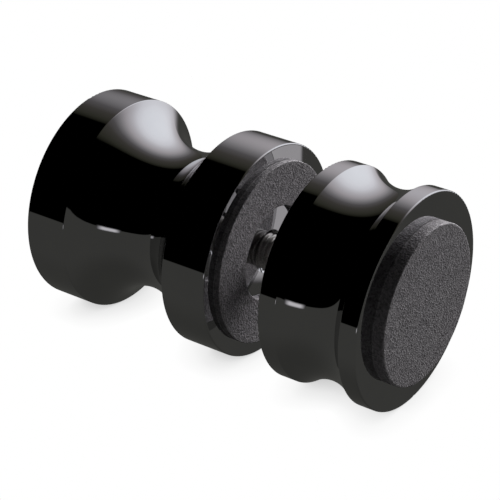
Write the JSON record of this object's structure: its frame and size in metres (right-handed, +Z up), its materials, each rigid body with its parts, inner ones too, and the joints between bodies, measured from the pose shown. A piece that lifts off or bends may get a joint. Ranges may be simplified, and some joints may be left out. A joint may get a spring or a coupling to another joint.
{
  "type": "shower door handle",
  "caption": "Back-to-back spool-shaped shower door knobs, a long outer and a short inner one, with ring gaskets, a joining stud and a bumper pad.",
  "frame": {"origin": "on the knobs' common axis, in the middle of the door glass", "axes": "+Y along the knobs' axis from the glass towards the long outer knob, so -Y points to the inner knob and its bumper pad; +Z up; the glass lies in the XZ plane"},
  "size_m": [0.03, 0.0545, 0.03],
  "materials": {
    "polished_metal": "mirror-polished dark chrome plate on turned brass",
    "gasket_rubber": "fine-grained dark grey foam rubber",
    "bumper_rubber": "fine-grained dark grey foam rubber",
    "stud_steel": "plain stainless steel"
  },
  "bodies": {
    "root": {"outer_knob": "polished_metal", "outer_gasket": "gasket_rubber", "threaded_stud": "stud_steel", "inner_gasket": "gasket_rubber", "inner_knob": "polished_metal", "bumper_pad": "bumper_rubber"}
  },
  "joints": []
}
